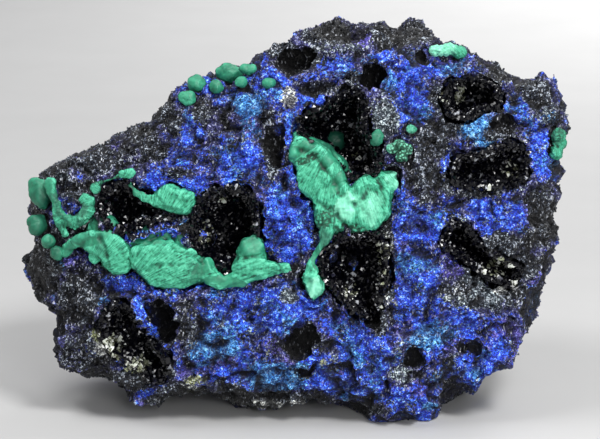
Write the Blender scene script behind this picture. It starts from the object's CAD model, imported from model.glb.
"""Dresses a specimen of azurite with malachite: the vuggy lump with its velvet and its coal-dark
crystals, the druse in its hollows, and the malachite grown on it.

The surfaces are worked as arrays, in millimetres, in the frame of the lump's broken face: x runs
across, z up and -y out of the face. A place on the face is given on a drawing grid, as
(steps from its left edge, steps down from its top edge).
"""

import math

import bmesh
import bpy
import numpy as np
from bpy.props import FloatProperty, FloatVectorProperty, PointerProperty
from mathutils import Matrix, Vector, noise
from mathutils.bvhtree import BVHTree


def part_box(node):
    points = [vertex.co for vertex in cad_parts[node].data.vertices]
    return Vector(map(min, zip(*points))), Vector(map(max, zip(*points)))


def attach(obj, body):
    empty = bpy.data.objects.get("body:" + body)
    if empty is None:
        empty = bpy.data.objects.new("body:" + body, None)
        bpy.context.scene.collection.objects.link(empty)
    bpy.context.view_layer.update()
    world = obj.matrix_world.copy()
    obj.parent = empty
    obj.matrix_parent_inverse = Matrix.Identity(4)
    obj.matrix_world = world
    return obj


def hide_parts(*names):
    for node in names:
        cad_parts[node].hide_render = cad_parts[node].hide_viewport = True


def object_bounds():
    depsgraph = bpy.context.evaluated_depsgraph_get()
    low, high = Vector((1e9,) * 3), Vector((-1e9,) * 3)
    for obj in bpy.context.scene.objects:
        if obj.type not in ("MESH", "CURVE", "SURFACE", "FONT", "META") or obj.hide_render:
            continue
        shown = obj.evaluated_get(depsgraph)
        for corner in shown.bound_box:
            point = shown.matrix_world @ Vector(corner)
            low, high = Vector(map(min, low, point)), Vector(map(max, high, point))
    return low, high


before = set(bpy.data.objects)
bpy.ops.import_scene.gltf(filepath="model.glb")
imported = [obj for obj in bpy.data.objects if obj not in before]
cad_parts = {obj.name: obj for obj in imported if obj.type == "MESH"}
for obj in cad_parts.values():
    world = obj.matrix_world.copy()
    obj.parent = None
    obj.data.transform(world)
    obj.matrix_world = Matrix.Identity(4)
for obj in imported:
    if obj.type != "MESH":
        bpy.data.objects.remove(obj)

bl_info = {
    "name": "Azurite and Malachite Specimen",
    "version": (1, 0, 0),
    "blender": (4, 5, 0),
    "location": "3D View > Sidebar > Specimen",
    "description": "Builds the surfaces, crystals and finishes of a lump of azurite with malachite",
    "category": "Object",
}

CAD_BOX = [list(corner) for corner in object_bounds()]
MM = 0.001
# Points no further apart than this, in millimetres, are one.
SAME_POINT = 0.001
# Lower than anything.
NOWHERE = -1e9

GRID_STEP = 0.22
GRID_MIDDLE = (296, 218)
FACE_LEAN_DEG = 15.0
STAND = np.array([-0.338, -6.534, 41.0])
LEAN = np.array(Matrix.Rotation(-math.radians(FACE_LEAN_DEG), 3, "X"))
OUT_OF_FACE = np.array([0.0, -1.0, 0.0])

HOLLOWS = ("upper", "left", "far_left", "lower_left", "middle", "oval", "upper_right", "right")

# Patches of the face, by what covers them: middle on the grid, half sizes across and up, and
# where they aren't 1 and 0, strength and tilt in degrees (clockwise). Where no patch lies, the
# face is a dusky mixture.
PATCHES = {
    "coal": [
        (165, 108, 30, 15, 1.0, -38), (232, 62, 26, 8, 0.9, -20), (283, 44, 30, 12, 1.0, -22),
        (328, 28, 30, 13), (398, 34, 32, 9, 1.0, 8), (500, 72, 24, 9, 0.9, 28), (540, 86, 20, 17, 0.9),
        (560, 112, 10, 18, 0.7), (92, 156, 46, 17, 1.0, -12), (150, 137, 22, 15, 0.9, -35),
        (58, 172, 20, 14), (38, 200, 12, 30, 0.8), (42, 270, 24, 34), (78, 298, 22, 32, 0.9),
        (84, 348, 28, 30, 0.8), (125, 380, 38, 13, 1.0, 6), (190, 322, 13, 30, 0.8),
        (205, 112, 12, 15, 0.9), (178, 171, 15, 7, 0.8), (273, 146, 8, 32, 0.9, 4), (328, 86, 28, 8, 0.9),
        (424, 164, 21, 36, 0.85), (548, 218, 18, 38, 0.95), (522, 300, 20, 10, 0.6), (265, 398, 62, 8),
        (372, 410, 28, 7, 0.9), (185, 390, 24, 9), (230, 160, 8, 10, 0.4), (504, 130, 22, 9, 1.0, 10),
        (110, 262, 16, 14, 0.7), (170, 400, 30, 8), (387, 250, 9, 46, 0.9), (352, 292, 18, 12, 0.9),
        (382, 316, 10, 18, 0.9), (168, 212, 40, 9, 1.0, 8), (199, 232, 8, 24), (86, 190, 32, 12, 1.0, -8),
        (76, 226, 24, 14), (102, 210, 9, 16, 0.9), (432, 142, 22, 26, 0.9), (446, 104, 12, 20, 0.7),
        (448, 180, 12, 12, 0.9), (545, 190, 14, 14, 0.8), (500, 262, 34, 18, 1.0, 10), (505, 242, 24, 14),
        (462, 286, 24, 8, 0.8), (372, 100, 12, 10, 0.5), (300, 58, 24, 12), (356, 78, 16, 10, 0.8),
        (92, 285, 14, 26, 0.8), (152, 352, 14, 18), (168, 366, 10, 20, 0.9), (318, 340, 12, 14, 0.7),
        (308, 372, 12, 9, 0.6), (386, 28, 14, 14), (422, 26, 18, 12), (300, 268, 12, 9, 0.8),
        (270, 120, 9, 16, 0.8), (128, 150, 12, 8, 0.8), (156, 152, 14, 9, 0.8), (222, 138, 10, 8, 0.5),
        (232, 388, 14, 6, 0.9), (452, 124, 12, 14), (432, 172, 14, 18), (520, 160, 14, 14),
        (530, 262, 18, 18), (516, 290, 20, 14, 0.9), (440, 92, 10, 18, 0.9), (476, 190, 30, 6, 0.9),
    ],
    "velvet": [
        (194, 128, 12, 18), (172, 182, 30, 12, 1.0, -8), (203, 186, 11, 12, 0.9), (243, 162, 24, 28),
        (290, 222, 28, 40), (252, 70, 15, 10, 0.8), (276, 78, 14, 9, 0.8), (316, 98, 18, 8, 0.9, -18),
        (337, 63, 19, 8), (383, 57, 13, 5, 0.9), (410, 92, 22, 32, 1.0, 8), (436, 67, 20, 8, 0.9),
        (519, 103, 13, 14, 0.9, 40), (547, 150, 13, 32, 1.0, 8), (418, 226, 25, 20),
        (420, 290, 24, 40, 0.95, 4), (498, 214, 30, 20, 1.0, -8), (466, 320, 20, 14, 1.0, -20),
        (488, 366, 18, 11, 1.0, -14), (402, 398, 13, 12), (424, 402, 9, 9), (262, 310, 62, 26),
        (247, 358, 9, 12), (313, 366, 13, 24), (357, 346, 20, 26), (128, 279, 26, 9, 1.0, 4),
        (180, 283, 30, 7), (201, 278, 8, 10), (148, 316, 7, 26, 1.2, 22), (147, 388, 9, 13),
        (228, 372, 16, 10, 0.9), (335, 245, 9, 18, 1.2), (356, 262, 7, 12), (385, 352, 16, 22, 0.8),
        (330, 382, 22, 12, 0.8), (90, 345, 12, 12, 0.6), (305, 132, 8, 26, 0.9), (448, 160, 6, 22, 0.8),
        (535, 300, 7, 20, 0.9), (470, 372, 26, 14, 1.1, -22), (504, 350, 14, 16, 0.9),
    ],
    "teal": [
        (252, 103, 18, 15), (216, 346, 30, 22, 0.8), (278, 376, 30, 15, 1.6, 6), (236, 328, 22, 14, 0.4),
        (434, 334, 26, 15, 0.9, 20), (414, 262, 24, 13, 0.7), (476, 126, 26, 15, 1.2, -38),
        (540, 298, 7, 13), (58, 262, 8, 9), (103, 298, 8, 5, 0.9, -30), (378, 372, 9, 28, 0.6),
        (392, 78, 8, 14, 0.7), (147, 378, 9, 10, 0.6), (346, 72, 24, 8, 0.5), (556, 114, 9, 6, 0.9),
        (300, 380, 16, 12, 0.6), (480, 372, 8, 7), (436, 406, 9, 5, 1.1),
    ],
    "violet": [
        (225, 172, 16, 12, 0.8), (452, 50, 38, 9, 0.9, 12), (512, 342, 26, 22), (455, 262, 15, 18, 0.9, 30),
        (340, 322, 15, 14, 0.9), (428, 388, 17, 11, 0.9), (270, 348, 15, 12, 0.9), (522, 218, 14, 14, 0.7),
        (365, 36, 12, 10, 0.8), (160, 283, 26, 6, 0.6), (516, 127, 9, 5), (255, 128, 8, 10, 0.6),
        (118, 150, 20, 10, 0.5), (540, 275, 9, 12, 0.8), (52, 245, 10, 14, 0.4),
    ],
    "ash": [
        (385, 118, 17, 30), (488, 287, 44, 20), (290, 294, 12, 9, 0.9), (385, 291, 11, 12, 0.9),
        (548, 106, 14, 15, 0.7), (338, 42, 28, 12, 0.7), (405, 372, 16, 11, 0.8), (490, 185, 13, 5, 0.9),
        (120, 262, 14, 14, 0.4), (190, 345, 10, 14, 0.4), (455, 357, 9, 14, 0.6), (228, 112, 10, 8, 0.5),
        (278, 342, 10, 8, 0.6), (150, 150, 14, 10, 0.4), (270, 402, 60, 7, 0.8),
        (110, 158, 40, 16, 0.35, -14), (352, 46, 40, 8, 0.5, 6), (545, 230, 14, 30, 0.5),
    ],
    "pale": [
        (110, 344, 13, 8, 1.4, 8), (98, 331, 5, 7, 0.8), (119, 355, 6, 6, 0.8), (138, 366, 13, 4, 0.7, 10),
        (291, 97, 8, 12, 0.9), (464, 91, 5, 7), (452, 107, 8, 6, 0.35), (340, 85, 7, 4, 0.8),
        (206, 235, 6, 10, 0.6), (334, 253, 4, 3, 0.8), (345, 293, 4, 3, 0.8), (503, 288, 8, 5),
        (520, 288, 4, 4), (542, 222, 17, 14, 0.45), (546, 254, 12, 16, 0.45), (388, 238, 8, 24, 0.5),
        (425, 375, 5, 5, 0.8), (250, 404, 36, 6, 1.0, -5), (195, 388, 12, 6, 0.6, -30), (88, 222, 4, 4),
        (390, 300, 11, 12, 0.5), (465, 290, 26, 9, 0.45), (300, 404, 14, 4, 0.9), (415, 170, 16, 24, 0.3),
        (223, 196, 4, 4, 0.9), (526, 138, 8, 4, 0.6), (276, 60, 10, 4, 0.4),
    ],
    "lime": [
        (98, 332, 5, 8), (137, 364, 14, 8, 0.9, 10), (200, 379, 13, 5), (191, 391, 5, 5),
        (325, 361, 6, 5, 0.9), (271, 350, 4, 3, 0.8), (331, 78, 3, 3, 0.8),
    ],
}  # fmt: skip


# Furrows and ridges of the face: half width in grid steps, height in millimetres, and the columns
# and rows of the places that they run through.
STROKES = [
    (14, -7.0, 142, 233, 165, 227, 190, 232), (5, -1.8, 118, 221, 130, 230),
    (5, -1.2, 296, 190, 306, 216, 318, 232), (9, -2.2, 286, 56, 302, 50, 318, 50, 316, 66),
    (8, -1.8, 304, 84, 326, 88, 346, 84, 362, 77), (5, -2.2, 264, 112, 272, 132, 281, 158, 289, 182),
    (4, -2.4, 386, 20, 398, 30, 403, 46), (3, -1.4, 362, 16, 368, 30), (3, -1.2, 418, 45, 440, 57),
    (5, -2.0, 514, 76, 523, 96), (4, -1.5, 505, 119, 532, 121), (6, -1.2, 410, 132, 406, 160, 420, 190),
    (3, -1.4, 430, 309, 427, 319), (3, -1.2, 482, 337, 500, 328), (3, -1.5, 390, 380, 388, 392),
    (5, -2.0, 305, 376, 318, 367), (6, -1.5, 408, 361, 424, 370, 428, 378), (6, -0.9, 379, 338, 378, 384),
    (4, -1.5, 128, 148, 133, 150), (6, -1.2, 152, 150, 162, 154), (4, -1.2, 168, 172, 172, 173),
    (4, -1.8, 201, 134, 204, 136), (4, -1.0, 218, 137, 224, 139), (8, -2.2, 152, 344, 160, 358, 166, 378),
    (3, -1.0, 185, 348, 194, 374), (3, -1.4, 224, 379, 240, 373, 256, 376), (4, -1.5, 262, 398, 288, 403),
    (6, -1.0, 344, 396, 370, 406), (3, -1.4, 246, 309, 254, 322), (6, -1.2, 205, 190, 215, 186),
    (5, -1.2, 60, 186, 92, 180, 110, 190), (4, -1.2, 340, 305, 336, 318),
    (4, -1.3, 100, 250, 92, 272, 98, 292), (5, -1.2, 206, 300, 204, 340),
    (4, -1.0, 232, 92, 226, 112, 234, 124), (4, -1.0, 296, 100, 284, 112), (4, -1.1, 392, 62, 398, 84),
    (4, -1.0, 444, 168, 440, 190), (5, -1.3, 536, 186, 541, 222, 536, 262), (3, -1.0, 260, 262, 274, 270),
    (4, -1.2, 392, 296, 396, 330), (4, -1.1, 352, 366, 356, 386), (3, -1.0, 470, 372, 456, 388),
    (7, 1.8, 458, 137, 478, 124, 496, 109), (4, 0.9, 448, 88, 456, 78, 480, 74, 500, 80, 508, 94),
    (5, 3.0, 139, 298, 148, 322, 156, 337), (11, 1.6, 484, 244, 512, 244),
    (4, 0.8, 441, 228, 448, 211, 466, 209, 476, 224), (5, 0.9, 304, 66, 330, 74, 352, 68),
    (6, 0.9, 330, 40, 362, 44, 396, 52), (5, 0.9, 148, 292, 190, 294), (8, 1.0, 238, 318, 236, 352),
    (7, 0.9, 276, 318, 292, 310), (5, 0.9, 400, 342, 436, 340), (7, 1.1, 372, 112, 378, 132),
    (6, 1.0, 420, 262, 424, 300), (6, 0.9, 248, 130, 252, 160), (5, 0.9, 182, 162, 200, 168),
    (6, 1.0, 332, 352, 326, 384), (6, 1.0, 360, 352, 366, 384), (6, 1.0, 546, 136, 548, 176),
    (6, 0.9, 506, 340, 492, 366), (9, 1.2, 540, 78, 556, 108),
]  # fmt: skip

# The same on the malachite, and where it is smooth and dark, where it crumbles and where it is
# palest.
GREEN_STROKES = [
    (4, 0.75, 300, 136, 312, 141, 325, 149, 337, 165, 345, 182, 354, 196),
    (3, -0.7, 303, 148, 320, 157, 333, 174, 343, 194), (4, 0.9, 298, 151, 298, 152),
    (7, 0.7, 339, 188, 348, 205, 357, 214), (3, 0.7, 358, 197, 361, 187, 369, 181, 379, 184),
    (2, -0.5, 364, 196, 369, 189, 378, 190, 384, 200), (8, 0.7, 372, 202, 372, 212),
    (2, -0.6, 380, 178, 387, 200, 386, 212), (3, 0.4, 388, 178, 398, 170),
    (3, -0.7, 318, 200, 334, 208, 350, 226), (2, -0.4, 357, 200, 360, 226),
    (3, 0.5, 306, 272, 318, 276, 313, 296),
    (2, -0.5, 134, 244, 150, 241, 163, 233, 172, 240, 180, 248, 192, 251, 206, 260),
    (2, -0.6, 169, 220, 176, 231, 178, 243), (14, 0.5, 158, 262, 182, 268),
    (2, -0.5, 240, 258, 256, 254, 270, 254), (3, 0.6, 277, 262, 279, 263), (2, -0.4, 283, 256, 284, 272),
    (3, 0.5, 78, 238, 92, 233, 110, 231, 122, 238, 131, 252), (2, -0.6, 103, 236, 109, 246, 112, 264),
    (3, 0.4, 146, 197, 156, 203), (2, -0.4, 158, 190, 164, 200, 172, 208), (4, 0.4, 180, 192, 192, 196),
    (2, -0.4, 150, 268, 166, 262, 190, 262), (2, 0.4, 205, 250, 214, 270),
]  # fmt: skip
GREENS = {
    "smooth": [
        (312, 143, 16, 6, 1.0, 28), (331, 158, 12, 6, 1.0, 50), (342, 178, 6, 16, 1.0, -28),
        (298, 151, 6, 6), (318, 252, 5, 22, 1.0, 12), (153, 229, 24, 13, 1.0, -8), (184, 231, 11, 14),
        (208, 260, 7, 22, 1.0, -32), (230, 279, 24, 4, 1.0, -6), (252, 242, 13, 13), (110, 222, 16, 14),
        (90, 239, 14, 6, 0.9), (74, 252, 8, 12), (136, 188, 8, 6), (40, 190, 14, 18), (38, 225, 14, 14),
        (54, 246, 10, 16), (338, 138, 12, 14), (226, 70, 50, 30, 0.7), (62, 205, 8, 22, 0.6, 20),
        (376, 136, 8, 9, 0.8),
    ],
    "crumbly": [
        (310, 157, 13, 5, 0.9, 26), (328, 216, 11, 13, 0.8), (352, 226, 24, 4, 0.8),
        (180, 274, 30, 9, 0.5, 6), (282, 266, 16, 8, 0.5), (405, 150, 14, 12, 0.9), (440, 46, 26, 10, 0.5),
        (560, 132, 12, 18, 0.7), (110, 178, 20, 8, 0.8), (76, 212, 24, 28, 0.55),
    ],
    "pale": [
        (348, 205, 12, 16, 1.0, -28), (372, 205, 14, 20, 0.8), (396, 178, 12, 10, 0.7, -30),
        (124, 248, 7, 12, 0.4), (182, 196, 12, 7, 0.3), (190, 268, 16, 12, 0.45), (316, 284, 8, 12, 0.9),
        (86, 208, 9, 12, 0.6), (160, 254, 20, 6, 0.25), (440, 46, 22, 9), (404, 148, 14, 9),
        (412, 128, 6, 6, 0.6), (560, 132, 10, 16, 0.5), (228, 68, 12, 5, 0.5, 10), (245, 67, 6, 4, 0.5),
        (198, 78, 4, 3, 0.4),
    ],
    "shaded": [
        (38, 225, 14, 14, 0.55), (42, 196, 12, 16, 0.4), (54, 246, 10, 12, 0.45),
        (160, 226, 30, 7, 0.3, -6), (338, 138, 14, 14), (327, 236, 8, 13, 0.8, 14), (376, 138, 8, 10, 0.55),
        (352, 168, 5, 12, 0.6, -28), (352, 160, 5, 14, 0.5, -35), (110, 226, 8, 6, 0.5),
        (58, 232, 8, 12, 0.5), (104, 244, 5, 10, 0.5), (196, 262, 5, 10, 0.3),
    ],
    "mottled": [
        (70, 212, 36, 36, 0.7), (118, 182, 32, 12, 0.7, -18), (405, 150, 14, 12, 0.4),
        (560, 132, 12, 18, 0.7), (200, 72, 60, 20, 0.35),
    ],
    "slim": [
        (322, 250, 6, 26, 1.0, 14), (118, 180, 30, 8, 1.0, -18), (148, 196, 10, 8, 0.8),
        (60, 215, 12, 30, 0.5), (284, 266, 12, 8, 0.6), (302, 274, 5, 5), (396, 172, 8, 6, 0.6),
        (312, 288, 9, 12, 0.9), (90, 210, 12, 16, 0.4), (38, 225, 14, 14, 0.7),
    ],
}  # fmt: skip


def to_face(world):
    """Millimetres in the frame of the face, for metres in the row frame."""
    return (world / MM - STAND) @ LEAN


def to_world(points):
    return (points @ LEAN.T + STAND) * MM


def to_grid(points):
    """The column and the row on the drawing grid of points in the frame of the face."""
    return points[:, 0] / GRID_STEP + GRID_MIDDLE[0], GRID_MIDDLE[1] - points[:, 2] / GRID_STEP


def on_face(column, row):
    return (column - GRID_MIDDLE[0]) * GRID_STEP, (GRID_MIDDLE[1] - row) * GRID_STEP


def eased(values, low, high):
    share = np.clip((values - low) / (high - low), 0, 1)
    return share * share * (3 - 2 * share)


def unit(vectors):
    return vectors / np.maximum(np.linalg.norm(vectors, axis=-1, keepdims=True), 1e-9)


def noise_at(points, length, seed):
    """Smooth noise from about -1 to 1 at each point."""
    shift = Vector((seed, seed * 1.7, -seed))
    return np.array([noise.noise(Vector(p) / length + shift) for p in points])


def humps_at(points, length, seed):
    """Rounded humps about `length` across with creases between them, from 0 to 1."""
    shift = Vector((seed, -seed * 1.3, seed * 0.7))
    gaps = np.empty(len(points))
    for index, point in enumerate(points):
        near, second = noise.voronoi(Vector(point) / length + shift)[0][:2]
        gaps[index] = second - near
    return np.minimum(1.0, 1.4 * gaps) ** 0.5


def placed(name, data):
    """A new object in the scene."""
    made = bpy.data.objects.new(name, data)
    bpy.context.scene.collection.objects.link(made)
    return made


def aimed(name, data, place, target):
    """A new lamp or camera at a place, looking at a target."""
    made = placed(name, data)
    made.location = place
    made.rotation_euler = (Vector(target) - Vector(place)).to_track_quat("-Z", "Y").to_euler()
    return made


class Skin:
    """A closed triangle surface as arrays, with named values at its points."""

    def __init__(self, mesh):
        mesh.calc_loop_triangles()
        places = np.empty(len(mesh.vertices) * 3)
        mesh.vertices.foreach_get("co", places)
        corners = np.empty(len(mesh.loop_triangles) * 3, np.int32)
        mesh.loop_triangles.foreach_get("vertices", corners)
        self.points = to_face(places.reshape(-1, 3))
        self.faces = corners.reshape(-1, 3)
        self.fields = {}
        pairs = np.concatenate([self.faces[:, ends] for ends in ([0, 1], [1, 2], [2, 0])])
        self.pairs = np.unique(np.sort(pairs, axis=1), axis=0)
        self.neighbours = np.maximum(np.bincount(self.pairs.ravel(), minlength=len(self.points)), 1)

    def arrays(self):
        return self.points, self.faces, self.fields

    def summed(self, index, values):
        return np.stack([np.bincount(index, part, len(self.points)) for part in values.T], axis=1)

    def around(self, values):
        """The mean of each point's neighbours."""
        flat = values.reshape(len(values), -1)
        first, second = self.pairs.T
        total = self.summed(np.concatenate([first, second]), flat[np.concatenate([second, first])])
        return (total / self.neighbours[:, None]).reshape(values.shape)

    def softened(self, values, times):
        for _ in range(times):
            values = 0.5 * values + 0.5 * self.around(values)
        return values

    def face_normals(self):
        a, b, c = (self.points[self.faces[:, i]] for i in range(3))
        return np.cross(b - a, c - a)

    def normals(self):
        across = self.face_normals()
        total = np.zeros_like(self.points)
        for i in range(3):
            total += self.summed(self.faces[:, i], across)
        return unit(total)

    def over_faces(self, values):
        """The mean of a value over each face's corners."""
        return values[self.faces].mean(axis=1)

    def noise(self, length, seed):
        return noise_at(self.points, length, seed)

    def humps(self, length, seed):
        return humps_at(self.points, length, seed)

    def tree(self):
        return BVHTree.FromPolygons([Vector(p) for p in self.points], self.faces.tolist())


def fine_skin(node, voxel, softening):
    """One even skin over a solid of the model, with its facets rounded off."""
    work = placed("work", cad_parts[node].data.copy())
    edit = bmesh.new()
    edit.from_mesh(work.data)
    bmesh.ops.remove_doubles(edit, verts=edit.verts, dist=SAME_POINT * MM)
    edit.to_mesh(work.data)
    edit.free()
    remesh = work.modifiers.new("even", "REMESH")
    remesh.mode = "VOXEL"
    remesh.voxel_size = voxel * MM
    graph = bpy.context.evaluated_depsgraph_get()
    mesh = bpy.data.meshes.new_from_object(work.evaluated_get(graph))
    skin = Skin(mesh)
    bpy.data.objects.remove(work)
    bpy.data.meshes.remove(mesh)
    skin.points = skin.softened(skin.points, softening)
    return skin


def patch_share(column, row, patches, wander):
    """How far each place lies inside the nearest of some patches, from 0 to 1."""
    best = np.zeros(len(column))
    for middle, level, across, up, *rest in patches:
        strength, tilt = rest + [1.0, 0][len(rest):]
        turn = math.radians(tilt)
        x, z = column - middle, level - row
        u = (x * math.cos(turn) + z * math.sin(turn)) / across
        v = (z * math.cos(turn) - x * math.sin(turn)) / up
        best = np.maximum(best, strength * (1 - eased(np.hypot(u, v) + wander, 0.55, 1.45)))
    return best


def strokes_at(column, row, strokes):
    """The height of the furrows and ridges at each place."""
    height = np.zeros(len(column))
    for half_width, tall, *places in strokes:
        nearest = np.full(len(column), -NOWHERE)
        for x0, y0, x1, y1 in zip(places[::2], places[1::2], places[2::2], places[3::2]):
            dx, dy = x1 - x0, y1 - y0
            along = np.clip(((column - x0) * dx + (row - y0) * dy) / (dx * dx + dy * dy), 0, 1)
            nearest = np.minimum(nearest, np.hypot(column - x0 - along * dx, row - y0 - along * dy))
        height += tall * (1 - eased(nearest, 0.15 * half_width, 1.5 * half_width))
    return height


def make_piece(name, arrays, slot, nodes=(), smooth=False):
    """A piece from points, faces and fields. It rides on the root and may stand for solids of the model."""
    points, faces, fields = arrays
    places = np.clip(to_world(points), *np.array(CAD_BOX))
    mesh = bpy.data.meshes.new(name)
    mesh.vertices.add(len(points))
    mesh.vertices.foreach_set("co", places.ravel())
    mesh.loops.add(faces.size)
    mesh.loops.foreach_set("vertex_index", faces.ravel().astype(np.int32))
    mesh.polygons.add(len(faces))
    mesh.polygons.foreach_set("loop_start", np.arange(0, faces.size, 3, dtype=np.int32))
    mesh.polygons.foreach_set("loop_total", np.full(len(faces), 3, np.int32))
    mesh.polygons.foreach_set("use_smooth", np.full(len(faces), smooth))
    mesh.update(calc_edges=True)
    for field, values in fields.items():
        vector = values.ndim == 2
        layer = mesh.attributes.new(field, "FLOAT_VECTOR" if vector else "FLOAT", "POINT")
        layer.data.foreach_set("vector" if vector else "value", values.astype(np.float32).ravel())
    mesh.materials.append(finish_for(slot))
    piece = placed(name, mesh)
    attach(piece, "root")
    if nodes:
        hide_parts(*nodes)
    return piece


# --- crystals ---

# A stubby pointed crystal and a small rounded grain. Their roots are at z = 0.
SPLINTER = (
    [(-0.45, -0.3, -0.5), (0.5, -0.34, -0.5), (0.0, 0.5, -0.5),
     (-0.45, -0.3, 0.5), (0.5, -0.34, 0.66), (0.0, 0.5, 0.6), (0.08, -0.06, 1.0)],
    [(0, 1, 4), (0, 4, 3), (1, 2, 5), (1, 5, 4), (2, 0, 3), (2, 3, 5), (0, 2, 1),
     (3, 4, 6), (4, 5, 6), (5, 3, 6)],
)  # fmt: skip
GRAIN = (
    [(0, 0, -0.5), (0.5, 0.1, 0.1), (-0.06, 0.5, 0.16), (-0.5, -0.08, 0.08), (0.08, -0.5, 0.14),
     (0.06, -0.04, 0.62)],
    [(0, 2, 1), (0, 3, 2), (0, 4, 3), (0, 1, 4), (5, 1, 2), (5, 2, 3), (5, 3, 4), (5, 4, 1)],
)  # fmt: skip


def scattered(skin, count, weights, dice):
    """Random points on a skin: the places, their normals and a blend of their faces' corner values."""
    across = skin.face_normals()
    areas = np.linalg.norm(across, axis=1) / 2
    odds = areas * weights
    chosen = dice.choice(len(odds), count, p=odds / odds.sum())
    u, v = dice.random(count), dice.random(count)
    over = u + v > 1
    u[over], v[over] = 1 - u[over], 1 - v[over]
    shares = np.stack([1 - u - v, u, v], axis=1)
    corners = skin.faces[chosen]
    places = (skin.points[corners] * shares[:, :, None]).sum(axis=1)
    fields = {name: (values[corners] * shares).sum(axis=1) for name, values in skin.fields.items()}
    return places, unit(across[chosen]), fields


def crystals(shape, places, normals, sizes, tilt, slimness, dice):
    """Many crystals as one set of arrays, each turned its own way about a tilted normal."""
    corners, faces = np.array(shape[0], float), np.array(shape[1])
    count = len(places)
    up = unit(normals + tilt * dice.normal(size=(count, 3)))
    side = unit(np.cross(up, dice.normal(size=(count, 3))))
    third = np.cross(up, side)
    widths = sizes[:, None] * dice.uniform(slimness, 1.0, (count, 2))
    stretched = np.stack([widths[:, 0], widths[:, 1], sizes], axis=1)
    local = corners[None] * stretched[:, None]
    points = (
        places[:, None]
        + local[:, :, :1] * side[:, None]
        + local[:, :, 1:2] * third[:, None]
        + local[:, :, 2:] * up[:, None]
    )
    all_faces = faces[None] + (np.arange(count) * len(corners))[:, None, None]
    return points.reshape(-1, 3), all_faces.reshape(-1, 3)


def joined(*sets):
    """Several (points, faces, fields) sets as one."""
    points, faces, start = [], [], 0
    for these, those, _ in sets:
        points.append(these)
        faces.append(those + start)
        start += len(these)
    fields = {name: np.concatenate([s[2][name] for s in sets]) for name in sets[0][2]}
    return np.concatenate(points), np.concatenate(faces), fields


# --- finishes ---


class Value:
    """An output of a shader node that can be added, subtracted and multiplied."""

    def __init__(self, finish, socket):
        self.finish, self.socket = finish, socket

    def __add__(self, other):
        return self.finish.calculate("ADD", self, other)

    def __sub__(self, other):
        return self.finish.calculate("SUBTRACT", self, other)

    def __rsub__(self, other):
        return self.finish.calculate("SUBTRACT", other, self)

    def __mul__(self, other):
        return self.finish.calculate("MULTIPLY", self, other)


class Finish:
    """A material that is put together from shader nodes."""

    def __init__(self, name):
        self.material = bpy.data.materials.new(name)
        self.material.use_nodes = True
        self.tree = self.material.node_tree
        self.look = bpy.context.scene.specimen_looks
        self.where = self.add("ShaderNodeTexCoord", "Object")

    def feed(self, node, inputs):
        """Sets the inputs of a node, or links them where they come from another one."""
        for key, value in inputs.items():
            if isinstance(value, Value):
                self.tree.links.new(value.socket, node.inputs[key])
            else:
                node.inputs[key].default_value = value

    def add(self, kind, output, inputs=(), **settings):
        """An output of a new node."""
        made = self.tree.nodes.new(kind)
        for key, value in settings.items():
            setattr(made, key, value)
        self.feed(made, dict(inputs))
        return Value(self, made.outputs[output])

    def calculate(self, operation, first, second):
        return self.add("ShaderNodeMath", 0, {0: first, 1: second}, operation=operation)

    def tint(self, colour):
        """A colour for an input: an output as it is, or three numbers or one of the panel's names."""
        if isinstance(colour, str):
            colour = getattr(self.look, colour)
        return colour if isinstance(colour, Value) else (*colour, 1)

    def between(self, share, first, second, kind="MIX"):
        """One colour laid over another by a share."""
        inputs = {0: share, 6: self.tint(first), 7: self.tint(second)}
        return self.add("ShaderNodeMix", 2, inputs, data_type="RGBA", blend_type=kind)

    def ramp(self, share, stops):
        made = self.add("ShaderNodeValToRGB", 0, {0: share})
        elements = made.socket.node.color_ramp.elements
        while len(elements) < len(stops):
            elements.new(0.5)
        for element, (position, colour) in zip(elements, stops):
            element.position = position
            element.color = self.tint(colour)
        return made

    def field(self, name, output="Fac"):
        return self.add("ShaderNodeAttribute", output, attribute_name=name, attribute_type="GEOMETRY")

    def eased(self, value, low, high):
        inputs = {"Value": value, "From Min": low, "From Max": high}
        return self.add("ShaderNodeMapRange", 0, inputs, interpolation_type="SMOOTHSTEP")

    def cells(self, scale, where=None):
        """Random value of each crystal-like cell and the distance from its middle."""
        inputs = {"Vector": where or self.where, "Scale": scale}
        distance = self.add("ShaderNodeTexVoronoi", "Distance", inputs)
        colour = Value(self, distance.socket.node.outputs["Color"])
        return self.add("ShaderNodeSeparateColor", 0, {"Color": colour}), distance

    def mottle(self, scale, detail=3.0, where=None):
        inputs = {"Vector": where or self.where, "Scale": scale, "Detail": detail, "Roughness": 0.6}
        return self.add("ShaderNodeTexNoise", 0, inputs)

    def wear(self, colour, rough, height=None, strength=0.0):
        """Puts the colour, the roughness and perhaps a bumpy height on the material."""
        inputs = {"Base Color": colour, "Roughness": rough}
        if height:
            bumps = {"Height": height, "Strength": strength, "Distance": BUMP_DISTANCE}
            inputs["Normal"] = self.add("ShaderNodeBump", 0, bumps)
        self.feed(self.tree.nodes["Principled BSDF"], inputs)


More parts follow.
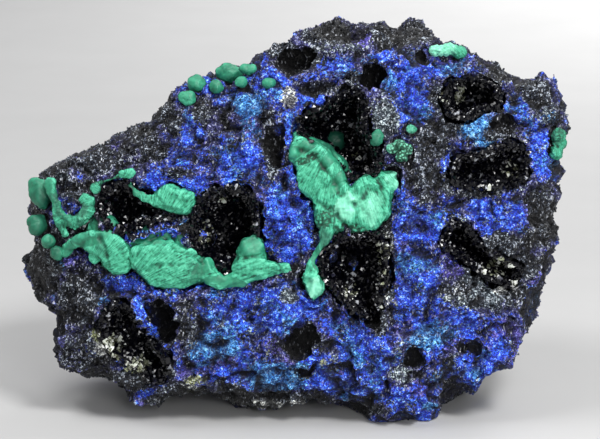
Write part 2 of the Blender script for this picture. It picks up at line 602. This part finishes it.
BUMP_DISTANCE = 0.3 * MM
GLASS_IOR = 1.5
COVERS = {
    "violet": [
        (0.0, (0.004, 0.003, 0.02)), (0.3, (0.02, 0.015, 0.11)), (0.6, (0.075, 0.06, 0.38)),
        (0.85, (0.24, 0.21, 0.66)),
    ],
    "velvet": [
        (0.0, (0.002, 0.003, 0.03)), (0.28, "velvet_deep"), (0.55, "velvet_blue"),
        (0.78, (0.06, 0.24, 1.0)), (0.9, (0.4, 0.62, 1.0)),
    ],
    "teal": [
        (0.0, (0.002, 0.008, 0.03)), (0.35, (0.008, 0.055, 0.22)), (0.62, (0.03, 0.19, 0.58)),
        (0.85, (0.24, 0.55, 0.9)),
    ],
    "ash": [
        (0.0, (0.003, 0.004, 0.006)), (0.38, (0.014, 0.02, 0.03)), (0.62, (0.09, 0.12, 0.155)),
        (0.82, (0.58, 0.66, 0.72)),
    ],
    "coal": [
        (0.0, (0.001, 0.001, 0.002)), (0.48, (0.003, 0.004, 0.007)), (0.72, (0.024, 0.032, 0.054)),
        (0.87, (0.42, 0.47, 0.56)),
    ],
    "pale": [
        (0.0, (0.02, 0.02, 0.02)), (0.4, (0.1, 0.1, 0.11)), (0.6, (0.5, 0.52, 0.52)),
        (0.85, (0.95, 0.97, 0.95)),
    ],
    "lime": [
        (0.0, (0.02, 0.025, 0.01)), (0.35, (0.1, 0.12, 0.04)), (0.65, (0.5, 0.54, 0.28)),
        (0.9, (0.9, 0.92, 0.75)),
    ],
}  # fmt: skip
# What the share of a patch and the mottling add up to where its cover starts.
EDGES = {"violet": 1.02, "velvet": 1.0, "teal": 1.06, "ash": 1.06, "coal": 1.04, "pale": 1.1, "lime": 1.14}
DUSK = [
    (0.0, (0.002, 0.002, 0.008)), (0.38, (0.01, 0.01, 0.05)), (0.65, (0.045, 0.045, 0.2)),
    (0.86, (0.28, 0.29, 0.52)),
]  # fmt: skip
# What creases and tips do to the colour: on dull crystals, on bright ones and on malachite.
CREASES = (
    [(0.2, (0.03, 0.03, 0.05)), (0.42, (0.5, 0.5, 0.56)), (0.58, (1.05, 1.05, 1.05)),
     (0.9, (1.75, 1.75, 1.65))],
    [(0.14, (0.04, 0.04, 0.07)), (0.38, (0.52, 0.52, 0.58)), (0.56, (1.0, 1.0, 1.0)),
     (0.85, (1.7, 1.75, 1.5))],
)  # fmt: skip
GREEN_CREASE = [
    (0.1, (0.05, 0.14, 0.13)), (0.42, (0.7, 0.8, 0.78)), (0.6, (1.0, 1.0, 1.0)), (0.95, (1.9, 1.4, 1.5)),
]  # fmt: skip
# The dark crystals of the druse, and its pale ones.
GLASSES = (
    [(0.0, (0.0008, 0.0008, 0.002)), (0.86, "druse"), (0.92, (0.014, 0.014, 0.035)),
     (0.97, (0.50, 0.52, 0.56))],
    [(0.0, (0.05, 0.05, 0.03)), (0.4, (0.24, 0.26, 0.17)), (0.7, (0.8, 0.83, 0.76)),
     (1.0, (0.95, 0.97, 0.94))],
)  # fmt: skip


def azurite_finish(made):
    """The lump: dusky grains under patches of coal, blue velvet, teal, violet, ash and lime."""
    fine, coarse = made.mottle(1500.0), made.mottle(330.0)
    chance, hollow = made.cells(3500.0)
    other, _ = made.cells(1500.0)
    mixed = chance * 0.62 + other * 0.38
    colour = made.ramp(mixed, DUSK)
    for number, (name, tints) in enumerate(COVERS.items()):
        lot, _ = made.cells(1500.0 + 230.0 * number)
        wander = coarse * 0.5 + lot * 0.5
        share = made.eased(made.field(name) + wander, EDGES[name] - 0.1, EDGES[name] + 0.14)
        colour = made.between(share, colour, made.ramp(mixed, tints))
    bright = made.calculate("MINIMUM", 1.0, made.field("velvet") + made.field("teal"))
    uneven = made.field("relief") + (fine - 0.5) * 0.3
    creased = made.between(bright, *(made.ramp(uneven, stops) for stops in CREASES))
    colour = made.between(1.0, colour, creased, "MULTIPLY")
    colour = made.between(made.field("sunk") * 0.95, colour, (0.001, 0.001, 0.0016))
    turned = {"Vector": made.where, "Rotation": (0.5, 0.8, 0.4), "Scale": (4300.0, 2600.0, 1900.0)}
    spark, _ = made.cells(1.0, made.add("ShaderNodeMapping", 0, turned, vector_type="POINT"))
    glint = made.eased(spark, 0.915, 0.925) * (1.0 - bright * 0.8) * (1.0 - made.field("sunk") * 0.55)
    glint = glint * made.eased(made.mottle(520.0), 0.42, 0.60)
    colour = made.between(glint, colour, (0.78, 0.82, 0.90))
    made.wear(colour, other * 0.25 + 0.62 - made.field("gloss") * 0.42, hollow * -0.9 + fine, 0.9)


def druse_finish(made):
    """Glassy crystals of azurite, so deep a blue that they look black."""
    chance, _ = made.cells(1100.0)
    deep, pale = (made.ramp(made.field("chance"), stops) for stops in GLASSES)
    made.wear(made.between(made.field("pale"), deep, pale), chance * 0.14 + 0.06)
    made.feed(made.tree.nodes["Principled BSDF"], {"IOR": GLASS_IOR})


def malachite_finish(made):
    """Malachite: satin and deeper green on its rounded skin, pale and fibrous where it is broken."""
    fibres = made.mottle(1.0, 4.0, made.field("fibre", "Vector"))
    cloud, fine = made.mottle(300.0), made.mottle(1700.0)
    _, hollow = made.cells(1500.0)
    skin = made.ramp(cloud, [(0.35, "malachite_deep"), (0.6, "malachite_mid")])
    strands = fibres * 0.65 + fine * 0.35
    torn = [(0.39, (0.008, 0.12, 0.07)), (0.46, "malachite_pale"), (0.58, (0.10, 0.58, 0.36))]
    share = made.eased(made.field("broken") + fine * 0.35, 0.5, 0.85)
    colour = made.between(share, skin, made.ramp(strands, torn))
    worn = made.eased(made.field("pale") + strands * 0.7, 0.75, 1.4)
    colour = made.between(worn, colour, "malachite_bright")
    crumbs = made.field("crumbly") * (hollow + fine)
    colour = made.between(made.eased(crumbs, 0.55, 0.95), colour, (0.012, 0.09, 0.05))
    colour = made.between(1.0, colour, made.ramp(made.field("relief"), GREEN_CREASE), "MULTIPLY")
    grime = (made.mottle(700.0) + fine) * made.field("grime")
    colour = made.between(made.eased(grime, 0.95, 1.2), colour, (0.006, 0.035, 0.024))
    colour = made.between(made.field("shaded") * 0.85, colour, (0.004, 0.045, 0.03))
    height = fibres * share * 0.9 + hollow * made.field("crumbly") * -1.2 + fine * 0.18
    made.wear(colour, share * 0.16 + 0.5, height, 0.7)


FINISHES = {"azurite": azurite_finish, "druse": druse_finish, "malachite": malachite_finish}


def finish_for(slot):
    """The finish of a material slot, made the first time that it is asked for."""
    name = "finish_" + slot
    if name not in bpy.data.materials:
        FINISHES[slot](Finish(name))
    return bpy.data.materials[name]


# --- the lump ---

WORKED = {}
GRAIN_SEED, COAT_SEED, DRUSE_SEED = 11, 23, 40
# The voxels, in millimetres, that the skins are made with, apart from those of GROWTHS.
LUMP_VOXEL, DRUSE_VOXEL, NODULE_VOXEL = 0.735, 0.5, 0.2
VELVET_GRAINS, COAL_CRYSTALS = 23000, 17200


# How the level of the face is found: the cells in grid steps, how many cells each way count as
# around a point, and which of them, from the front, gives the level.
LEVEL_CELL, LEVEL_REACH, LEVEL_RANK = 10, 3, 16


def sunk_behind_face(skin):
    """How far each point of the front lies behind the face around it, in millimetres."""
    column, row = to_grid(skin.points)
    across, down = (column // LEVEL_CELL).astype(int), (row // LEVEL_CELL).astype(int)
    across, down = across - across.min(), down - down.min()
    front = np.full((across.max() + 1, down.max() + 1), NOWHERE)
    np.maximum.at(front, (across, down), -skin.points[:, 1])
    padded = np.pad(front, LEVEL_REACH, constant_values=NOWHERE)
    wide, tall = front.shape
    span = range(2 * LEVEL_REACH + 1)
    windows = [padded[i : i + wide, j : j + tall] for i in span for j in span]
    envelope = np.sort(np.stack(windows), axis=0)[-LEVEL_RANK]
    return envelope[across, down] + skin.points[:, 1]


# What covers the sides and the back: how wide, its seed, where it starts and is full, its share.
ELSEWHERE = {
    "velvet": (12.0, 9.7, 0.1, 0.5, 0.9), "teal": (9.0, 4.4, 0.25, 0.6, 0.8),
    "violet": (10.0, 6.3, 0.15, 0.5, 0.8), "ash": (8.0, 1.2, 0.3, 0.6, 0.7),
    "pale": (6.0, 3.6, 0.45, 0.7, 0.5), "lime": (5.0, 7.2, 0.55, 0.7, 0.7),
}  # fmt: skip
# What drifts over the face between the patches: how wide, its seed, its middle and its swing.
DRIFTS = {
    "velvet": (7.0, 5.5, 0.46, 0.45), "teal": (5.0, 3.1, 0.22, 0.75), "violet": (5.5, 7.9, 0.22, 0.7),
    "ash": (4.0, 6.4, 0.1, 0.75), "coal": (3.6, 2.2, 0.18, 0.75),
}  # fmt: skip


# Where the lump stands out further than its solid: the place on the grid, its reach in steps, and
# the millimetres across and up.
SWELLS = [
    ((502, 356), 34, 3.2, -0.6), ((530, 318), 24, 1.6, -1.4), ((474, 378), 26, 1.6, -3.0),
    ((266, 54), 22, -0.3, 1.6), ((378, 20), 26, 0.0, 1.7), ((560, 88), 24, 0.9, 2.6),
    ((440, 40), 16, 0.0, 1.6), ((118, 146), 22, -0.4, 1.2), ((286, 46), 18, -0.6, 1.0),
]  # fmt: skip
# Places that stay in the light although they lie behind the face.
LIT = [
    (148, 316, 8, 28, 1.0, 22), (302, 200, 12, 34, 1.0, -15), (170, 285, 52, 8, 1.0, 4), (402, 196, 8, 24),
    (330, 238, 16, 8, 0.8), (262, 278, 34, 7, 1.0, -8), (345, 236, 30, 5, 0.6), (296, 380, 26, 12, 0.9),
]  # fmt: skip
# And places that stay dim.
DIM = [(40, 268, 26, 32, 0.5), (78, 300, 18, 30, 0.25), (548, 222, 12, 40, 0.2)]


# The lighter crystals among the druse.
FROSTED = [
    (503, 264, 26, 12, 0.5, 32), (524, 284, 12, 8, 0.55), (516, 168, 10, 14, 0.4), (498, 188, 24, 5, 0.5),
    (440, 96, 8, 12, 0.6), (464, 91, 6, 9, 1.2), (360, 150, 8, 12, 0.35), (208, 228, 6, 14, 0.5),
    (356, 290, 12, 8, 0.5), (345, 255, 5, 12, 0.4), (385, 262, 6, 30, 0.4),
]  # fmt: skip


def lump_fields(skin, normals):
    """What covers the lump: placed patches on its face, drifting ones on its sides and back."""
    column, row = to_grid(skin.points)
    facing = eased(normals @ OUT_OF_FACE, -0.1, 0.3) * eased(-skin.points[:, 1], -6.0, 4.0)
    wander = 0.42 * skin.noise(4.5, 2.5) + 0.25 * skin.noise(1.8, 3.5)
    elsewhere = {
        name: share * eased(skin.noise(length, seed), low, high)
        for name, (length, seed, low, high, share) in ELSEWHERE.items()
    }
    elsewhere["coal"] = 1 - 0.75 * eased(skin.noise(13.0, 9.1), 0.05, 0.4)
    fields = skin.fields
    for name, patches in PATCHES.items():
        share = patch_share(column, row, patches, wander)
        fields[name] = facing * share + (1 - facing) * elsewhere[name]
    bare = facing * (1 - fields["coal"]) * (1 - fields["ash"])
    for name, (length, seed, middle, swing) in DRIFTS.items():
        drift = np.clip(middle + swing * skin.noise(length, seed), 0, 0.75)
        fields[name] = np.maximum(fields[name], bare * drift)
    lit = patch_share(column, row, LIT, wander)
    deep = eased(sunk_behind_face(skin) + 2.6 * skin.noise(2.6, 6.6), 1.6, 4.6)
    fields["sunk"] = np.maximum(deep * facing * (1 - lit), patch_share(column, row, DIM, wander))


def relief_of(skin, normals, passes, scale):
    """0.5 where the surface is even, lower in creases and higher on tips."""
    broad = skin.softened(skin.points, passes)
    return np.clip(0.5 + ((skin.points - broad) * normals).sum(axis=1) / scale, 0, 1)


# The humps of the lump: how wide, how tall, and their seed.
LAYERS = ((9.0, 1.5, 2.1), (4.6, 1.25, 0.3), (2.4, 0.85, 4.1), (1.4, 0.4, 7.7))
MEAN_HUMP = 0.76
# A shelf whose rim stays smooth.
SHELF = [(166, 228, 38, 14)]


def wandered(points, swing, length):
    """Places on the grid, shifted this way and that by up to about `swing` steps."""
    column, row = to_grid(points)
    return column + swing * noise_at(points, length, 1.1), row + swing * noise_at(points, length, 8.8)


def work_lump():
    """The lump's surface with its humps, its grain and its fields."""
    skin = fine_skin("azurite_mass", LUMP_VOXEL, 5)
    base = np.clip(to_world(skin.points)[:, 2] / (1.2 * MM), 0, 1)
    dice = np.random.default_rng(GRAIN_SEED)
    column, row = to_grid(skin.points)
    for (middle, level), reach, across, up in SWELLS:
        share = (1 - eased(np.hypot(column - middle, row - level), 0, reach)) * base
        skin.points += share[:, None] * np.array([across, 0.0, up])
    normals = skin.normals()
    ahead = eased(normals @ OUT_OF_FACE, 0.1, 0.7)
    height = np.full(len(skin.points), -0.2)
    for length, tall, seed in LAYERS:
        height += tall * (skin.humps(length, seed) - MEAN_HUMP)
    depth = sunk_behind_face(skin)
    rim = eased(depth, 0.3, 1.2) * (1 - eased(depth, 3.5, 6.0)) * eased(-skin.points[:, 1], -6.0, 4.0)
    rim *= 1 - patch_share(column, row, SHELF, 0.0)
    height += rim * 2.1 * np.maximum(skin.noise(2.8, 4.2), 0)
    height += 0.7 * skin.noise(3.2, 5.9) + 0.4 * skin.noise(1.2, 8.2)
    height += ahead * strokes_at(*wandered(skin.points, 5, 6.0), STROKES)
    skin.points += normals * (height * base)[:, None]
    normals = skin.normals()
    skin.points += normals * (dice.normal(0, 0.09, len(skin.points)) * base)[:, None]
    normals = skin.normals()
    lump_fields(skin, normals)
    skin.fields["relief"] = 0.5 * relief_of(skin, normals, 10, 1.3) + 0.5 * relief_of(skin, normals, 50, 2.6)
    bright = np.clip(skin.fields["velvet"] + skin.fields["teal"], 0, 1)
    skin.fields["gloss"] = 0.2 + 0.6 * skin.fields["coal"] * (1 - bright)
    return skin


def coat(skin, shape, count, weights, sizes, tilt, slimness, gloss, dice):
    """A scatter of crystals over the lump that take its patches with them. `gloss` draws theirs."""
    places, normals, fields = scattered(skin, count, weights, dice)
    lengths = dice.uniform(sizes[0], sizes[1], count) * dice.uniform(0.6, 1.0, count)
    lengths *= 0.62 + 0.38 * eased(normals @ OUT_OF_FACE, 0.0, 0.6)
    points, faces = crystals(shape, places, normals, lengths, tilt, slimness, dice)
    corners = len(shape[0])
    spread = {}
    for name, values in fields.items():
        if name == "relief":
            values = np.clip(values + 0.12, 0, 1)
        if name == "gloss":
            values = gloss(count)
        spread[name] = np.repeat(values, corners)
    lift = np.tile(0.5 + 0.4 * np.clip(np.array(shape[0])[:, 2], -0.5, 1.0), count)
    spread["relief"] = np.clip(spread["relief"] * lift * 1.25, 0, 1)
    return points, faces, spread


# --- the malachite ---

# Each growth: the voxel its skin is made with, the passes that soften it, and the place on the
# grid that its fibres spread from.
GROWTHS = {
    "saddle": (0.27, 2, (345, 120)),
    "ledge": (0.27, 2, (110, 300)),
    "fan": (0.25, 2, (85, 275)),
    "lip": (0.24, 2, (150, 240)),
    "seam": (0.20, 1, (118, 200)),
    "rosette": (0.22, 1, (76, 205)),
    "slab": (0.22, 2, (40, 150)),
}
NODULES = (
    "ball_left", "ball_shaded_upper", "ball_shaded_lower", "nodule_rear", "nodule_stain",
    "nodule_large", "nodule_tail", "nodule_front", "nodule_small", "nodule_chip", "ball_deep",
    "ball_side", "chip_right", "crest", "crumbs", "nodules_right",
)  # fmt: skip
# The fibres of a nodule spread from so many grid steps above its middle, and it is broken less.
ROOT_ABOVE = 12
WORN_SHARE = 0.55


def fibre_field(points, root):
    """Coordinates that run slowly away from the root and fast around it."""
    across, up = on_face(*root)
    x, z = points[:, 0] - across, points[:, 2] - up
    angle = np.arctan2(x, -z)
    return np.stack([angle * 60.0, np.hypot(x, z) * 0.35, points[:, 1] * 0.8], axis=1)


def work_growth(name, voxel, softening, root):
    """A growth of malachite: smooth and rounded on top, broken across its fibres at the front."""
    skin = fine_skin(name, voxel, softening)
    normals = skin.normals()
    ahead = eased(normals @ OUT_OF_FACE, 0.0, 0.5)
    column, row = to_grid(skin.points)
    wander = 0.3 * skin.noise(2.5, 2.5) + 0.15 * skin.noise(1.0, 3.5)
    patches = {kind: patch_share(column, row, GREENS[kind], wander) for kind in GREENS}
    height = ahead * strokes_at(*wandered(skin.points, 1.5, 2.0), GREEN_STROKES)
    side = 1 - np.abs(normals @ OUT_OF_FACE)
    ragged = 0.15 + 0.35 * skin.noise(2.4, 9.2) + 0.25 * skin.noise(1.0, 4.9)
    swollen = (0.2 + side * (ragged + 0.32)) * (1 - patches["slim"]) - 0.28 * patches["slim"]
    skin.points += normals * (height + swollen)[:, None]
    skin.points = skin.softened(skin.points, 1)
    normals = skin.normals()
    along = fibre_field(skin.points, root)
    broken = eased(normals @ OUT_OF_FACE, 0.2, 0.6) * (1 - patches["smooth"])
    grain = 0.16 * noise_at(along, 2.2, 3.3)
    grain += 0.2 * skin.noise(1.5, 6.0) + 0.14 * skin.noise(0.55, 5.0)
    lumps = 0.6 * (skin.humps(1.0, 4.4) - 0.7) * patches["crumbly"]
    swell = 0.3 * skin.noise(2.6, 2.0) + 0.3 * (skin.humps(4.2, 1.9) - 0.75)
    height = (0.25 + 0.75 * broken) * grain + lumps + swell
    skin.points += normals * height[:, None]
    normals = skin.normals()
    fields = skin.fields
    fields["broken"] = broken
    fields["crumbly"] = patches["crumbly"]
    fields["pale"] = patches["pale"] * (1 - patches["smooth"])
    spots = patches["mottled"] * eased(skin.noise(1.3, 7.7), -0.05, 0.35)
    fields["shaded"] = np.maximum(patches["shaded"], 0.9 * spots)
    fields["grime"] = 0.6 + 0.5 * (1 - ahead)
    fields["relief"] = 0.5 * relief_of(skin, normals, 8, 0.6) + 0.5 * relief_of(skin, normals, 30, 1.2)
    fields["fibre"] = along
    return skin


# --- operators ---


def tint(name, text, colour):
    """A colour of the panel."""
    return FloatVectorProperty(
        name=name, description=text, subtype="COLOR", size=3, min=0, max=1, default=colour
    )


class SpecimenLooks(bpy.types.PropertyGroup):
    """Colours and sizes of the specimen's finishes."""

    velvet_blue: tint("Velvet blue", "Colour of the bright blue velvet", (0.022, 0.058, 0.76))
    velvet_deep: tint("Velvet deep", "Colour between the grains of the velvet", (0.010, 0.020, 0.25))
    druse: tint("Druse", "Colour of the glassy crystals in the hollows", (0.002, 0.002, 0.005))
    malachite_pale: tint("Malachite pale", "Colour of broken malachite", (0.034, 0.37, 0.21))
    malachite_bright: tint("Malachite bright", "Colour of the palest worn malachite", (0.25, 0.80, 0.55))
    malachite_mid: tint("Malachite mid", "Lighter colour of the malachite's skin", (0.035, 0.33, 0.185))
    malachite_deep: tint("Malachite deep", "Darker colour of the malachite's skin", (0.010, 0.16, 0.09))
    druse_crystal: FloatProperty(
        name="Druse crystal", description="Length of the longest crystals in the hollows",
        default=0.95 * MM, min=0.4 * MM, max=3.0 * MM, unit="LENGTH", precision=4,
    )  # fmt: skip


class SPECIMEN_OT_lump(bpy.types.Operator):
    """Builds the lump of azurite with its velvet grains and its coal-dark crystals"""

    bl_idname = "specimen.lump"
    bl_label = "Build the Azurite Lump"

    def execute(self, context):
        skin = work_lump()
        WORKED["lump"] = skin
        make_piece("azurite_lump", skin.arrays(), "azurite", ["azurite_mass"])
        fields = skin.fields
        ahead = skin.over_faces(eased(skin.normals() @ OUT_OF_FACE, -0.4, 0.3))
        open_air = skin.over_faces(1 - fields["sunk"]) * (0.25 + 0.75 * ahead)
        soft = skin.over_faces(np.clip(fields["velvet"] + fields["teal"] - fields["coal"], 0, 1))
        dice = np.random.default_rng(COAT_SEED)
        grains = coat(skin, GRAIN, VELVET_GRAINS, open_air * (0.35 + soft), (0.3, 0.62), 0.5, 0.6,
                      lambda count: 0.15 + 0.5 * dice.random(count) ** 2, dice)  # fmt: skip
        make_piece("azurite_velvet_grains", grains, "azurite")
        apart = (1.1 - soft) * (0.3 + 0.7 * open_air)
        shafts = coat(skin, SPLINTER, COAL_CRYSTALS, apart, (0.34, 0.85), 0.4, 0.75,
                      lambda count: 0.5 + 0.5 * dice.random(count), dice)  # fmt: skip
        make_piece("azurite_coal_crystals", shafts, "azurite")
        return {"FINISHED"}


# Crystals to a square millimetre of druse, and the fewest and the most in a hollow.
CROWDED, FEWEST, MOST = 3.6, 200, 3600


def druse_crust(node, wall, longest, dice):
    """The crust of one hollow: its skin, and crystals on the side that faces into the hollow."""
    skin = fine_skin(node, DRUSE_VOXEL, 1)
    middles = skin.points[skin.faces].mean(axis=1)
    inward = np.full(len(middles), 0.03)
    for index, (middle, normal) in enumerate(zip(middles, unit(skin.face_normals()))):
        facing = wall.find_nearest(Vector(middle))[1]
        if facing is not None and facing.dot(Vector(normal)) > 0.1:
            inward[index] = 1.0
    skin.points += skin.normals() * dice.normal(0.2, 0.14, len(skin.points))[:, None]
    skin.fields["chance"] = dice.random(len(skin.points)) * 0.85
    skin.fields["pale"] = np.zeros(len(skin.points))
    room = (np.linalg.norm(skin.face_normals(), axis=1) / 2 * inward).sum()
    count = int(np.clip(CROWDED * room, FEWEST, MOST))
    places, normals, _ = scattered(skin, count, inward, dice)
    lengths = longest * dice.uniform(0.3, 1.0, count) ** 1.5 + 0.2
    points, faces = crystals(SPLINTER, places, normals, lengths, 0.55, 0.6, dice)
    light = patch_share(*to_grid(places), PATCHES["pale"] + PATCHES["lime"] + FROSTED, 0.0)
    light = light > dice.uniform(0.25, 1.0, count)
    rich = 0.80 + 0.42 * noise_at(places, 4.0, 3.9) - 0.2 * eased(places[:, 1], 2.0, 12.0)
    chance = np.clip(dice.random(count) * np.minimum(rich + 0.12, 1.06), 0, 1)
    fields = {"chance": chance, "pale": light * 1.0}
    fields = {name: np.repeat(values, len(SPLINTER[0])) for name, values in fields.items()}
    return joined(skin.arrays(), (points, faces, fields))


class SPECIMEN_OT_druse(bpy.types.Operator):
    """Builds the crust of glassy crystals in each of the larger hollows"""

    bl_idname = "specimen.druse"
    bl_label = "Build the Druse"

    def execute(self, context):
        wall = WORKED["lump"].tree()
        longest = context.scene.specimen_looks.druse_crystal / MM
        for number, hollow in enumerate(HOLLOWS):
            dice = np.random.default_rng(DRUSE_SEED + number)
            crust = druse_crust(f"druse_{hollow}", wall, longest, dice)
            make_piece(f"{hollow}_druse_crystals", crust, "druse", [f"druse_{hollow}"])
        return {"FINISHED"}


class SPECIMEN_OT_malachite(bpy.types.Operator):
    """Builds the larger growths of malachite, broken across at the front"""

    bl_idname = "specimen.malachite"
    bl_label = "Build the Malachite Growths"

    def execute(self, context):
        for growth, (voxel, softening, root) in GROWTHS.items():
            node = f"malachite_{growth}"
            skin = work_growth(node, voxel, softening, root)
            make_piece(f"{growth}_malachite", skin.arrays(), "malachite", [node], smooth=True)
        return {"FINISHED"}


class SPECIMEN_OT_nodules(bpy.types.Operator):
    """Builds the small rounded nodules of malachite"""

    bl_idname = "specimen.nodules"
    bl_label = "Build the Malachite Nodules"

    def execute(self, context):
        for nodule in NODULES:
            node = f"malachite_{nodule}"
            low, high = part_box(node)
            column, row = to_grid(to_face(np.array([(low + high) / 2])))
            skin = work_growth(node, NODULE_VOXEL, 4, (column[0], row[0] - ROOT_ABOVE))
            skin.fields["broken"] *= WORN_SHARE
            make_piece(f"{nodule}_of_malachite", skin.arrays(), "malachite", [node], smooth=True)
        return {"FINISHED"}


def lamp(name, place, target, power, size, cone_deg=None):
    """A soft square light, or a round one that lights only a cone."""
    data = bpy.data.lights.new(name, "SPOT" if cone_deg else "AREA")
    if cone_deg:
        data.spot_size, data.spot_blend, data.shadow_soft_size = math.radians(cone_deg), 1.0, size
    else:
        data.size = size
    data.energy = power
    aimed(name, data, place, target)


FLOOR_HALF = 3.0
MIDDLE = (0.0, 0.0, 0.04)
# Each lamp: its place, what it aims at, its watts, its size, and the width of its cone if it has one.
LAMPS = (
    ("key_light", (0.22, -0.30, 0.50), MIDDLE, 2.6, 0.16),
    ("front_light", (0.16, -0.62, 0.26), MIDDLE, 1.1, 0.18),
    ("top_light", (-0.20, -0.05, 0.50), MIDDLE, 1.0, 0.22),
    ("back_light", (0.50, 0.90, 0.80), (0.15, 0.6, 0.0), 4.6, 0.6),
    ("floor_light", (0.50, 0.80, 0.60), (0.22, 0.55, 0.0), 30.0, 0.1, 50.0),
)


class SPECIMEN_OT_stage(bpy.types.Operator):
    """Sets the pale floor, the soft studio lights and the camera"""

    bl_idname = "specimen.stage"
    bl_label = "Set the Stage"

    def execute(self, context):
        scene = context.scene
        scene.view_settings.view_transform = "Standard"
        mesh = bpy.data.meshes.new("studio_floor")
        corners = [(x * FLOOR_HALF, y * FLOOR_HALF, 0) for x, y in ((-1, -1), (1, -1), (1, 1), (-1, 1))]
        mesh.from_pydata(corners, [], [(0, 1, 2, 3)])
        floor = placed("studio_floor", mesh)
        paper = Finish("studio_paper")
        tone = paper.ramp(paper.mottle(30.0), [(0.3, (0.54, 0.538, 0.535)), (0.7, (0.56, 0.558, 0.555))])
        paper.wear(tone, 0.7)
        mesh.materials.append(paper.material)
        scene.world = bpy.data.worlds.new("studio_air")
        scene.world.use_nodes = True
        air = scene.world.node_tree.nodes["Background"].inputs
        air["Color"].default_value = (0.97, 0.98, 1.0, 1)
        air["Strength"].default_value = 0.38
        for settings in LAMPS:
            lamp(*settings)
        set_camera(scene)
        return {"FINISHED"}


VIEW_TARGET = (0.0011, -0.004, 0.0405)
VIEW_DISTANCE, VIEW_ELEVATION_DEG = 0.62, 15.0
SENSOR, VIEW_WIDTH, FACE_FORWARD = 36.0, 0.132, 0.02


def set_camera(scene):
    """Looks straight at the specimen from a little above."""
    data = bpy.data.cameras.new("camera")
    data.sensor_width = SENSOR
    data.lens = SENSOR * (VIEW_DISTANCE - FACE_FORWARD) / VIEW_WIDTH
    data.clip_start, data.clip_end = 0.01, 10.0
    rise = math.radians(VIEW_ELEVATION_DEG)
    away = Vector((0.0, -math.cos(rise), math.sin(rise))) * VIEW_DISTANCE
    scene.camera = aimed("camera", data, Vector(VIEW_TARGET) + away, VIEW_TARGET)


class SPECIMEN_PT_panel(bpy.types.Panel):
    """Lists the steps that build the specimen"""

    bl_idname = "SPECIMEN_PT_panel"
    bl_label = "Azurite Specimen"
    bl_space_type = "VIEW_3D"
    bl_region_type = "UI"
    bl_category = "Specimen"

    def draw(self, context):
        looks = context.scene.specimen_looks
        for name in SpecimenLooks.__annotations__:
            self.layout.prop(looks, name)
        for step in STEPS:
            self.layout.operator(step.bl_idname)


STEPS = (SPECIMEN_OT_lump, SPECIMEN_OT_druse, SPECIMEN_OT_malachite, SPECIMEN_OT_nodules, SPECIMEN_OT_stage)
CLASSES = (SpecimenLooks, *STEPS, SPECIMEN_PT_panel)


def register():
    for made in CLASSES:
        bpy.utils.register_class(made)
    bpy.types.Scene.specimen_looks = PointerProperty(type=SpecimenLooks)


def unregister():
    del bpy.types.Scene.specimen_looks
    for made in reversed(CLASSES):
        bpy.utils.unregister_class(made)


def main():
    register()
    bpy.ops.specimen.lump()
    bpy.ops.specimen.druse()
    bpy.ops.specimen.malachite()
    bpy.ops.specimen.nodules()
    bpy.ops.specimen.stage()


if __name__ == "__main__":
    main()
